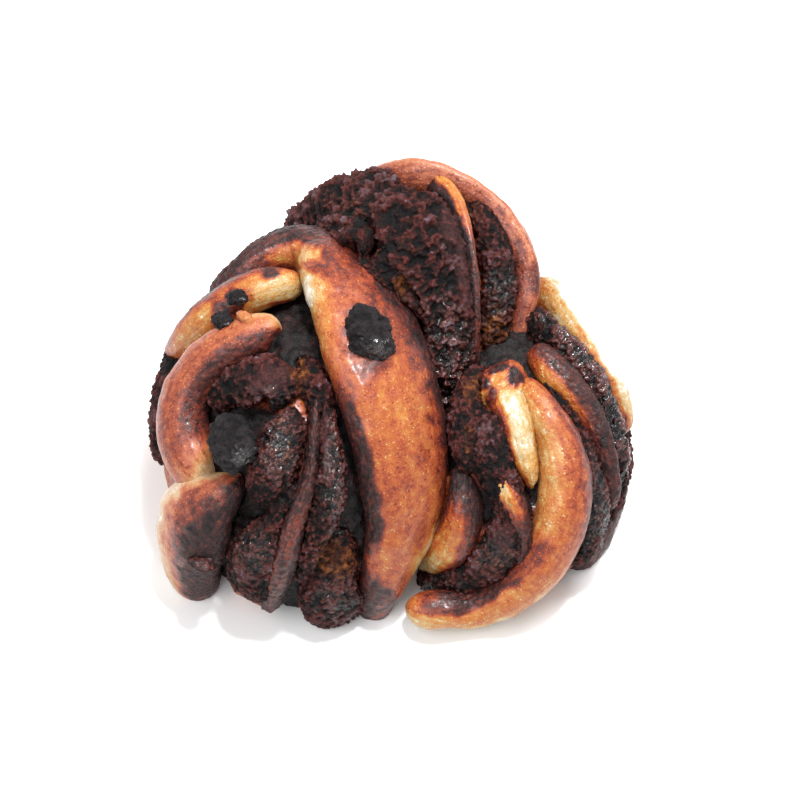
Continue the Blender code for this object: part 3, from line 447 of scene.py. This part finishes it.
def loft(name, way, sides, spacing=RING_SPACING):
    """A closed strand: circles placed along the way, bridged one to the next, ends filled."""
    rings = rings_of(way, spacing)
    bpy.ops.object.select_all(action="DESELECT")
    for number, (centre, turned, half, tall, _, _) in enumerate(rings):
        bpy.ops.mesh.primitive_circle_add(
            vertices=sides, radius=MM, fill_type="NOTHING", location=centre * MM,
            rotation=turned.to_euler())
        if number == 0:
            piece = bpy.context.object
            piece.name = piece.data.name = name
            bpy.ops.object.transform_apply(location=True, rotation=True, scale=True)
            bpy.ops.object.mode_set(mode="EDIT")
        bpy.ops.transform.resize(
            value=(half, tall, 1), orient_type="GLOBAL", orient_matrix=turned,
            orient_matrix_type="GLOBAL", center_override=centre * MM)
    for number in range(len(rings) - 1):
        select_rings(piece, sides, number, number + 1)
        bpy.ops.mesh.bridge_edge_loops()
    for number in (0, len(rings) - 1):
        select_rings(piece, sides, number, number)
        bpy.ops.mesh.edge_face_add()
    bpy.ops.mesh.select_all(action="SELECT")
    bpy.ops.mesh.normals_make_consistent(inside=False)
    bpy.ops.object.mode_set(mode="OBJECT")

    turn = np.arange(sides) / sides
    across = np.where(turn <= 0.5, -4 * turn, 4 * (1 - turn))
    write_value(piece, "across", np.tile(across, len(rings)))
    write_value(piece, "station", np.repeat([ring[4] for ring in rings], sides))
    write_value(piece, "along", np.repeat([ring[5] for ring in rings], sides))
    layer = piece.data.uv_layers.new(name="strand")
    corners = np.zeros(len(piece.data.loops), np.int32)
    piece.data.loops.foreach_get("vertex_index", corners)
    flat = np.empty((len(corners), 2), np.float32)
    flat[:, 0] = read_value(piece, "across")[corners] * 0.010
    flat[:, 1] = read_value(piece, "along")[corners] * MM / 8
    layer.data.foreach_set("uv", flat.ravel())
    return piece


def write_value(piece, name, values):
    """A number at every point of the mesh, for the materials."""
    layer = piece.data.attributes.get(name) or piece.data.attributes.new(name, "FLOAT", "POINT")
    layer.data.foreach_set("value", np.ascontiguousarray(values, np.float32))


def read_value(piece, name):
    values = np.empty(len(piece.data.vertices), np.float32)
    piece.data.attributes[name].data.foreach_get("value", values)
    return values


def points_of(piece):
    """Every point, in millimetres."""
    flat = np.empty(len(piece.data.vertices) * 3, np.float32)
    piece.data.vertices.foreach_get("co", flat)
    return flat.reshape(-1, 3) / MM


def set_points(piece, points):
    piece.data.vertices.foreach_set("co", (points * MM).astype(np.float32).ravel())
    piece.data.update()


def normals_of(piece):
    flat = np.empty(len(piece.data.vertices) * 3, np.float32)
    piece.data.vertex_normals.foreach_get("vector", flat)
    return flat.reshape(-1, 3)


def apply(piece, kind, **settings):
    """A modifier added, set and applied."""
    bpy.context.view_layer.objects.active = piece
    modifier = piece.modifiers.new(kind.lower(), kind)
    for key, value in settings.items():
        setattr(modifier, key, value)
    bpy.ops.object.modifier_apply(modifier=modifier.name)


def subdivide(piece, levels):
    apply(piece, "SUBSURF", levels=levels, render_levels=levels)


def relief(name, kind, size, **settings):
    """A texture that displaces, its grain in millimetres."""
    made = bpy.data.textures.new(name, kind)
    made.noise_scale = size * MM
    for key, value in settings.items():
        setattr(made, key, value)
    return made


def displace(piece, texture, depth, level=0.5, coordinates="LOCAL"):
    apply(piece, "DISPLACE", texture=texture, strength=depth * MM, mid_level=level,
          texture_coords=coordinates)


def cut_at_base(piece):
    """All below the base taken off, and the cut closed flat."""
    if points_of(piece)[:, 2].min() >= 0:
        return
    bpy.ops.object.select_all(action="DESELECT")
    piece.select_set(True)
    bpy.context.view_layer.objects.active = piece
    bpy.ops.object.mode_set(mode="EDIT")
    bpy.ops.mesh.select_all(action="SELECT")
    bpy.ops.mesh.bisect(plane_co=(0, 0, 0), plane_no=(0, 0, 1), clear_inner=True, use_fill=True,
                        threshold=1e-6)
    bpy.ops.object.mode_set(mode="OBJECT")


def soft_spot(points, right, up, wide, high, turn, wobble):
    """1 in the middle of a turned oval in the photograph's view, 0 outside it."""
    along, upward = seen_from_front(points)
    turn = math.radians(turn)
    x, y = along - right, upward - up
    far = np.hypot((x * math.cos(turn) + y * math.sin(turn)) / wide,
                   (y * math.cos(turn) - x * math.sin(turn)) / high) + wobble
    return smooth_step((1.3 - far) / 0.8)


def smooth_step(value):
    value = np.clip(value, 0, 1)
    return value * value * (3 - 2 * value)


def wobble_of(points, size):
    """Soft noise about 0 at every point, with this grain."""
    return np.array([noise.noise(point) for point in (points / size).tolist()])


def bake(piece, rows, stains, blush):
    """How brown the crust is at every point, from the table's rows and its stains."""
    points = points_of(piece)
    wobble = wobble_of(points, 2.5)
    across = np.sin(np.clip(read_value(piece, "across"), -1, 1) * math.pi / 2)
    station = read_value(piece, "station") + wobble * 0.25
    rows = np.array(rows, float)
    left, left_share, middle, right, right_share = (
        np.interp(station, rows[:, 0], column) for column in rows.T[1:])
    level = middle
    level = level + (left - level) * smooth_step(1.4 + wobble * 0.4 - (across + 1) / left_share)
    level = level + (right - level) * smooth_step(1.4 + wobble * 0.4 - (1 - across) / right_share)
    for right_at, up_at, wide, high, turn, brown, strength in stains:
        spot = soft_spot(points, right_at, up_at, wide, high, turn, wobble * 0.5) * strength
        level = level + (brown - level) * spot
    write_value(piece, "bake", level)
    write_value(piece, "blush", np.full(len(points), blush))


def finish(piece, look, slot, *nodes):
    """Shading and material; the piece goes under the root body and the parts it stands for are
    hidden.
    """
    piece.data.shade_smooth()
    piece.data.materials.clear()
    piece.data.materials.append(look)
    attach(piece, "root")
    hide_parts(*nodes)
    return piece


class Value:
    """A socket that can be reckoned with: each operation adds its Math node."""

    def __init__(self, look, socket):
        self.look = look
        self.socket = socket

    def reckon(self, operation, *others, clamp=False):
        return self.look.node("ShaderNodeMath", {"operation": operation, "use_clamp": clamp},
                              dict(enumerate(others)))

    def __add__(self, other):
        return self.reckon("ADD", self, other)

    def __sub__(self, other):
        return self.reckon("SUBTRACT", self, other)

    def __mul__(self, other):
        return self.reckon("MULTIPLY", self, other)

    def __radd__(self, other):
        return self.reckon("ADD", other, self)

    def __rsub__(self, other):
        return self.reckon("SUBTRACT", other, self)

    def __rmul__(self, other):
        return self.reckon("MULTIPLY", other, self)

    def clipped(self):
        return self.reckon("ADD", self, 0.0, clamp=True)

    def over(self, low, high):
        """0 at low, 1 at high, soft between."""
        return self.look.node(
            "ShaderNodeMapRange", {"interpolation_type": "SMOOTHSTEP"},
            {"Value": self, "From Min": low, "From Max": high, "To Min": 0.0, "To Max": 1.0})


class Look:
    """A material made of nodes."""

    def __init__(self, name):
        self.material = bpy.data.materials.new(name)
        self.material.use_nodes = True
        self.tree = self.material.node_tree
        self.shader = self.tree.nodes["Principled BSDF"]
        self.place = self.node("ShaderNodeTexCoord", {}, {}, "Object")

    def node(self, kind, settings, values, output=0):
        made = self.tree.nodes.new(kind)
        for key, value in settings.items():
            if key == "stops":
                self.set_stops(made.color_ramp, value)
            else:
                setattr(made, key, value)
        for key, value in values.items():
            self.feed(made.inputs[key], value)
        return Value(self, made.outputs[output])

    @staticmethod
    def set_stops(ramp, stops):
        while len(ramp.elements) < len(stops):
            ramp.elements.new(0.5)
        for element, (at, colour) in zip(ramp.elements, stops):
            element.position = at
            element.color = (*colour, 1)

    def feed(self, socket, value):
        if isinstance(value, Value):
            self.tree.links.new(value.socket, socket)
        else:
            socket.default_value = value

    def surface(self, **values):
        for key, value in values.items():
            self.feed(self.shader.inputs[key.replace("_", " ").title()], value)

    def value_of(self, name):
        """A number that the mesh carries."""
        return self.node("ShaderNodeAttribute", {"attribute_name": name}, {}, "Fac")

    def grain(self, size, detail=3.0, place=None, **settings):
        """Noise with this grain in millimetres."""
        return self.node("ShaderNodeTexNoise", settings, {
            "Vector": place or self.place, "Scale": 1 / (size * MM), "Detail": detail}, "Fac")

    def cells(self, size, output="Distance", **settings):
        return self.node("ShaderNodeTexVoronoi", settings, {
            "Vector": self.place, "Scale": 1 / (size * MM)}, output)

    def ramp(self, value, stops):
        return self.node("ShaderNodeValToRGB", {"stops": stops}, {"Fac": value}, "Color")

    def mix(self, share, one, other):
        """One colour turned into the other by a share."""
        return self.node("ShaderNodeMix", {"data_type": "RGBA"}, {0: share, 6: one, 7: other}, 2)

    def bump(self, height, depth, strength=1.0):
        return self.node("ShaderNodeBump", {}, {
            "Height": height, "Distance": depth * MM, "Strength": strength}, "Normal")


def linear(red, green, blue):
    """A colour as the bright studio shows it, made linear and brought back to the crust's own."""
    return tuple(ALBEDO * (part / 12.92 if part <= 0.04045 else ((part + 0.055) / 1.055) ** 2.4)
                 for part in (red / 255, green / 255, blue / 255))


def with_alpha(colour):
    return (*colour, 1.0)


# The first stop is not scaled by the albedo: a near-white painted highlight on pale cream crumb,
# reached by levels at or below 0
CRUST_BROWNS = [
    (0.00, (0.8, 0.76, 0.67)), (0.07, linear(250, 228, 186)), (0.15, linear(248, 200, 122)),
    (0.25, linear(236, 152, 62)), (0.38, linear(222, 118, 52)), (0.50, linear(198, 88, 46)),
    (0.63, linear(146, 58, 38)),
    (0.76, linear(92, 42, 36)), (0.88, linear(52, 30, 31)), (1.00, linear(12, 7, 8))]
CRUST_PINKS = [
    (0.00, linear(252, 220, 198)), (0.25, linear(244, 180, 144)), (0.45, linear(224, 132, 98)),
    (0.62, linear(170, 84, 64)), (0.80, linear(88, 48, 46)), (1.00, linear(20, 13, 15))]


def make_crust():
    """Baked dough: pale crumb to maroon crust, mottled, streaked along the band and pored."""
    look = Look("browned_crust")
    level, blush = look.value_of("bake"), look.value_of("blush")
    strand = look.node("ShaderNodeCombineXYZ", {}, {
        0: look.value_of("across") * 0.0055, 1: look.value_of("along") * (0.12 * MM)})
    streaks = look.grain(0.8, 3.0, strand)
    mottle, fine, specks = look.grain(4.5), look.grain(1.3, 4.0), look.grain(0.4, 2.0)
    blisters = 1 - look.cells(0.8).over(0.12, 0.36)
    pores = (1 - look.cells(1.2).over(0.1, 0.38)) * look.grain(2.2, 1.0).over(0.42, 0.58)
    amount = level.over(0.1, 0.35) * (1 - level.over(0.7, 0.9))
    spread = 0.4 + level.over(0.02, 0.3) * 0.6
    browned = (level + ((mottle - 0.5) * 0.24 + (fine - 0.5) * 0.4 + (specks - 0.5) * 0.3
                        + (streaks - 0.5) * 0.44) * spread + pores * amount * 0.12
               - blisters * amount * look.grain(1.7, 1.0).over(0.34, 0.6) * 0.24)
    colour = look.mix(blush, look.ramp(browned.clipped(), CRUST_BROWNS),
                      look.ramp(browned.clipped(), CRUST_PINKS))
    crumbs = level.over(0.72, 0.9)
    look.surface(
        base_color=colour, roughness=0.4 + fine * 0.14 + crumbs * 0.14,
        coat_weight=(0.1 + specks * 0.3) * (1 - crumbs),
        normal=look.bump(specks * (0.45 + crumbs) + fine * 0.7 + streaks * 0.8 + blisters * 0.35
                         - pores * 0.6, 0.24, 0.8))
    look.shader.inputs["Coat Roughness"].default_value = 0.2
    look.shader.inputs["Specular IOR Level"].default_value = 0.3
    return look.material


def make_chocolate():
    """Baked chocolate filling: crumbly, wet in places; grey-purple on its peaks, partly dust and
    partly painted highlight; red-brown to near black in its hollows as painted shade.
    """
    look = Look("chocolate_filling")
    peak, wet, glow = look.value_of("peak"), look.value_of("wet"), look.value_of("glow")
    dust, skin = look.value_of("dust"), look.value_of("skin")
    patches, fine, grit = look.grain(2.6), look.grain(0.8, 4.0), look.grain(0.28, 2.0)
    # Colour by relief height: hollows painted near black and red-brown as painted shade, peaks
    # painted grey-purple as painted highlight
    height = peak + (fine - 0.5) * 0.7 + (patches - 0.5) * 0.5
    colour = look.ramp(height, [
        (0.16, linear(10, 5, 6)), (0.36, linear(66, 24, 20)), (0.52, linear(113, 50, 41)),
        (0.67, linear(106, 69, 74)), (0.86, linear(146, 121, 134))])
    colour = look.mix(dust * peak.over(0.3, 0.8) * 0.75, colour,
                      with_alpha(linear(118, 106, 114)))
    colour = look.mix(skin * 0.8, colour, look.ramp(fine, [
        (0.35, linear(64, 34, 38)), (0.65, linear(112, 62, 60))]))
    # Amber patches: the chocolate's own tone, laid more on the peaks as painted highlight
    amber = look.ramp(look.grain(1.6, 3.0), [
        (0.36, linear(48, 18, 12)), (0.5, linear(100, 46, 18)), (0.66, linear(176, 104, 50))])
    colour = look.mix((glow * 1.2 + (patches - 0.5) + (peak - 0.5) * 0.6).over(0.2, 1.0) * 0.9,
                      colour, amber)
    look.surface(
        base_color=colour, roughness=0.56 - wet * 0.36 + grit * 0.2 * (1 - wet),
        coat_weight=wet * 0.6,
        normal=look.bump(grit * 0.8 + fine, 0.4, 1.0))
    look.shader.inputs["Coat Roughness"].default_value = 0.05
    look.shader.inputs["Specular IOR Level"].default_value = 0.2
    return look.material


def make_charred():
    """Charred chocolate: dull black-grey, gritty, with small glints."""
    look = Look("charred_chocolate")
    patches, fine, grit = look.grain(2.4), look.grain(0.7, 4.0), look.grain(0.22, 2.0)
    colour = look.mix(patches.over(0.35, 0.65), with_alpha(linear(32, 29, 32)),
                      with_alpha(linear(64, 57, 60)))
    wet = look.value_of("wet")
    look.surface(base_color=colour, roughness=0.66 - wet * 0.5 - grit * 0.1,
                 coat_weight=wet * 0.9, normal=look.bump(grit + fine, 0.5, 1.0))
    look.shader.inputs["Coat Roughness"].default_value = 0.08
    look.shader.inputs["Specular IOR Level"].default_value = 0.2
    return look.material


CRUST = make_crust()
CHOCOLATE = make_chocolate()
CHARRED = make_charred()

SWELL = relief("swell", "CLOUDS", 6, noise_depth=1)
WRINKLES = relief("wrinkles", "CLOUDS", 2.2, noise_depth=2)
CRAGS = relief("crags", "CLOUDS", 5, noise_depth=2)
GRIT = relief("grit", "CLOUDS", 0.7, noise_depth=2)


def clump_texture(size):
    made = relief("clumps", "VORONOI", size)
    made.weight_1, made.weight_2 = 1, 0
    return made


def loft_band(name, place, entry):
    lobe, stations = entry[:2]
    widest = max(station[3] for station in stations)
    sides = 24 if widest > 10 else 16 if widest > 4 else 12
    return loft(name, way_of(place, lobe, stations), sides)


def one_skin(pieces, name):
    """Copies of the pieces as one closed skin, to cut others with."""
    bpy.ops.object.select_all(action="DESELECT")
    for piece in pieces:
        piece.select_set(True)
    bpy.context.view_layer.objects.active = pieces[0]
    bpy.ops.object.duplicate()
    bpy.ops.object.join()
    skin = bpy.context.object
    skin.name = skin.data.name = name
    subdivide(skin, 1)
    apply(skin, "REMESH", mode="VOXEL", voxel_size=SKIN_VOXEL * MM)
    return skin


def join(pieces):
    bpy.ops.object.select_all(action="DESELECT")
    for piece in pieces:
        piece.select_set(True)
    bpy.context.view_layer.objects.active = pieces[0]
    if len(pieces) > 1:
        bpy.ops.object.join()
    return pieces[0]


def cut_with(piece, skin):
    apply(piece, "BOOLEAN", operation="DIFFERENCE", object=skin, solver="MANIFOLD")


def make_band(piece, entry, torn):
    _, _, rows, stains, blush = entry
    subdivide(piece, 3)
    displace(piece, SWELL, 0.8)
    displace(piece, WRINKLES, 0.6, coordinates="UV")
    bake(piece, rows, stains, blush)
    smooth = points_of(piece)
    displace(piece, clump_texture(1.3), -0.75, level=0.4)
    displace(piece, GRIT, 0.4)
    crumbs = torn + (1 - torn) * 0.5 * smooth_step((read_value(piece, "bake") - 0.64) / 0.2)
    set_points(piece, smooth + (points_of(piece) - smooth) * crumbs[:, None])
    cut_at_base(piece)
    finish(piece, CRUST, "browned_crust", "dough")


def make_filling(pieces, skin, node, spots=None, dents=(), clump=1.9, depth=0.9):
    piece = join(pieces)
    subdivide(piece, 1)
    apply(piece, "REMESH", mode="VOXEL", voxel_size=ROPE_VOXEL * MM)
    cut_with(piece, skin)
    apply(piece, "REMESH", mode="VOXEL", voxel_size=GRAIN_VOXEL * MM)
    apply(piece, "SMOOTH", iterations=6)
    cut_at_base(piece)
    points = points_of(piece)
    wobble = wobble_of(points, 2.0)
    normals = normals_of(piece)
    for right, up, wide, high, turn, deep in dents:
        points -= normals * (soft_spot(points, right, up, wide, high, turn, wobble * 0.3)
                             * deep)[:, None]
    set_points(piece, points)
    smooth = points_of(piece)
    normals = normals_of(piece)
    displace(piece, CRAGS, depth * 1.6)
    displace(piece, clump_texture(clump * 0.8), -depth * 1.3, level=0.35)
    displace(piece, clump_texture(clump * 0.4), -depth * 0.9, level=0.35)
    displace(piece, GRIT, 0.5)
    apply(piece, "SMOOTH", iterations=1, factor=0.5)
    moved = points_of(piece) - smooth
    marks = {}
    for kind in ("wet", "glow", "dust", "skin"):
        marks[kind] = np.zeros(len(smooth))
        for right, up, wide, high, turn, strength in (spots or {}).get(kind, ()):
            spot = soft_spot(smooth, right, up, wide, high, turn, wobble * 0.6) * strength
            marks[kind] = np.maximum(marks[kind], spot)
    points = smooth + moved * (1 - 0.75 * marks["skin"])[:, None]
    points[:, 2] = np.maximum(points[:, 2], 0)
    set_points(piece, points)
    for kind, values in marks.items():
        write_value(piece, kind, values)
    # Relief height of each point: the chocolate paints its peaks lighter as painted highlight and
    # its hollows darker as painted shade
    write_value(piece, "peak", (moved * normals).sum(1) / depth * 0.5 + 0.5)
    finish(piece, CHOCOLATE, "chocolate_filling", node)


def make_lump(name, entry):
    node, lobe, right, up, lift, half_up, half_side, half_height, subdivisions = entry
    centre, normal = place_seen(lobe, right, up, lift)
    long_way = normalised(VIEW_UP - normal * (VIEW_UP @ normal))
    turned = Matrix((np.cross(long_way, normal), long_way, normal)).transposed().to_euler()
    bpy.ops.object.select_all(action="DESELECT")
    bpy.ops.mesh.primitive_ico_sphere_add(
        subdivisions=subdivisions, radius=MM, location=centre * MM, rotation=turned,
        scale=(half_side, half_up, half_height))
    piece = bpy.context.object
    piece.name = piece.data.name = name
    bpy.ops.object.transform_apply(location=True, rotation=True, scale=True)
    size = half_side / 5
    displace(piece, CRAGS, 2.2 * size)
    displace(piece, clump_texture(3.5 * size), -1.4 * size, level=0.4)
    displace(piece, clump_texture(1.1), -0.5, level=0.4)
    displace(piece, GRIT, 0.8)
    points = points_of(piece)
    wobble = wobble_of(points, 1.0)
    write_value(piece, "wet", soft_spot(points, right + half_side * 0.4, up - half_up * 0.5,
                                        half_side * 0.5, half_up * 0.35, 0, wobble))
    finish(piece, CHARRED, "charred_chocolate", node)


def covered_share(piece, covers):
    """1 where bands or filling lie between a point and the photograph's viewer, 0 in the gaps."""
    graph = bpy.context.evaluated_depsgraph_get()
    trees = [BVHTree.FromObject(cover, graph) for cover in covers]
    share = np.array([
        float(any(tree.ray_cast(Vector(point * MM), Vector(normalised(VIEW_EYE - point)))[0]
                  for tree in trees))
        for point in points_of(piece) + normals_of(piece) * 0.5])
    edges = np.empty(len(piece.data.edges) * 2, np.int32)
    piece.data.edges.foreach_get("vertices", edges)
    one, other = edges.reshape(-1, 2).T
    count = np.bincount(edges, minlength=len(share))
    for _ in range(12):
        share = (np.bincount(one, share[other], len(share))
                 + np.bincount(other, share[one], len(share))) / np.maximum(count, 1)
    return smooth_step((share - 0.7) / 0.25)


def make_core(name, lobe, covers):
    """The crumb under the bands: near black in the gaps that show, dark crumb with painted shade of
    the deep gaps, baked dough at the back.
    """
    centre, radii = lobe
    bpy.ops.object.select_all(action="DESELECT")
    bpy.ops.mesh.primitive_ico_sphere_add(
        subdivisions=6, radius=MM, location=np.array(centre) * MM,
        scale=[radius - CRUST_DEPTH for radius in radii])
    piece = bpy.context.object
    piece.name = piece.data.name = name
    bpy.ops.object.transform_apply(location=True, rotation=True, scale=True)
    cut_with(piece, covers[1])
    apply(piece, "REMESH", mode="VOXEL", voxel_size=SKIN_VOXEL * MM)
    share = covered_share(piece, covers)
    smooth = points_of(piece) + normals_of(piece) * (CRUMB_SWELL * share)[:, None]
    displace(piece, CRAGS, 1.6)
    displace(piece, clump_texture(2.4), -1.5, level=0.35)
    displace(piece, clump_texture(1.1), -0.7, level=0.35)
    rough = points_of(piece)
    set_points(piece, rough + (smooth - rough) * share[:, None])
    displace(piece, SWELL, 0.8)
    wobble = wobble_of(smooth, 3.0)
    # In the gaps that show: dark crumb with painted shade; where covered: baked brown crumb
    write_value(piece, "bake", GAP_CRUMB_AND_SHADE + wobble * 0.12
                + (BAKED_CRUMB - GAP_CRUMB_AND_SHADE) * share)
    write_value(piece, "blush", np.zeros(len(smooth)))
    cut_at_base(piece)
    finish(piece, CRUST, "browned_crust", "dough")


bands = {name: (loft_band(name, place, entry), entry)
         for place, table in ((place_seen, SEEN_BANDS), (place_around, HIDDEN_BANDS))
         for name, entry in table.items()}
ropes = {name: ([loft(name, way_of(place, lobe, stations), 12) for stations in strands],
                node, more)
         for place, table in ((place_seen, SEEN_FILLING), (place_around, HIDDEN_FILLING))
         for name, (node, lobe, strands, *more) in table.items()}
band_skin = one_skin([piece for piece, _ in bands.values()], "band_skin")
rope_skin = one_skin([piece for pieces, _, _ in ropes.values() for piece in pieces], "rope_skin")
for pieces, node, more in ropes.values():
    make_filling(pieces, band_skin, node, *more)
for name, lobe in CRUMB_CORES.items():
    make_core(name, lobe, (band_skin, rope_skin))
for name, (piece, entry) in bands.items():
    make_band(piece, entry, TORN.get(name, HARDLY_TORN))
for name, entry in LUMPS.items():
    make_lump(name, entry)
for skin in (band_skin, rope_skin):
    bpy.data.objects.remove(skin)


def make_floor():
    bpy.ops.object.select_all(action="DESELECT")
    bpy.ops.mesh.primitive_plane_add(size=8)
    floor = bpy.context.object
    floor.name = "floor"
    look = Look("pale_floor")
    look.surface(base_color=with_alpha((0.93, 0.93, 0.93)), roughness=0.9)
    floor.data.materials.append(look.material)


def add_light(name, place, size, power):
    """A soft area light turned to the bun."""
    light = bpy.data.lights.new(name, "AREA")
    light.shape = "DISK"
    light.size = size
    light.energy = power
    lamp = bpy.data.objects.new(name, light)
    bpy.context.scene.collection.objects.link(lamp)
    lamp.location = place
    lamp.rotation_euler = (Vector((0, 0, 0.03)) - Vector(place)).to_track_quat("-Z", "Y").to_euler()


make_floor()
add_light("soft_window", (0.3, 0.42, 0.95), 0.7, 11)
add_light("soft_front", (-0.45, -0.4, 0.95), 0.8, 6)
add_light("small_sparkle", (0.12, 0.1, 0.9), 0.09, 6)

world = bpy.data.worlds.new("white_surround")
bpy.context.scene.world = world
world.use_nodes = True
world.node_tree.nodes["Background"].inputs["Color"].default_value = (1, 1, 1, 1)
world.node_tree.nodes["Background"].inputs["Strength"].default_value = 0.7
bpy.context.scene.view_settings.view_transform = "Standard"

camera = bpy.data.objects.new("camera", bpy.data.cameras.new("camera"))
bpy.context.scene.collection.objects.link(camera)
camera.data.lens = LENS
camera.data.sensor_width = SENSOR
camera.location = Vector(VIEW_EYE * MM)
camera.rotation_euler = (math.pi / 2 - VIEW_CLIMB, 0, 0)
bpy.context.scene.camera = camera
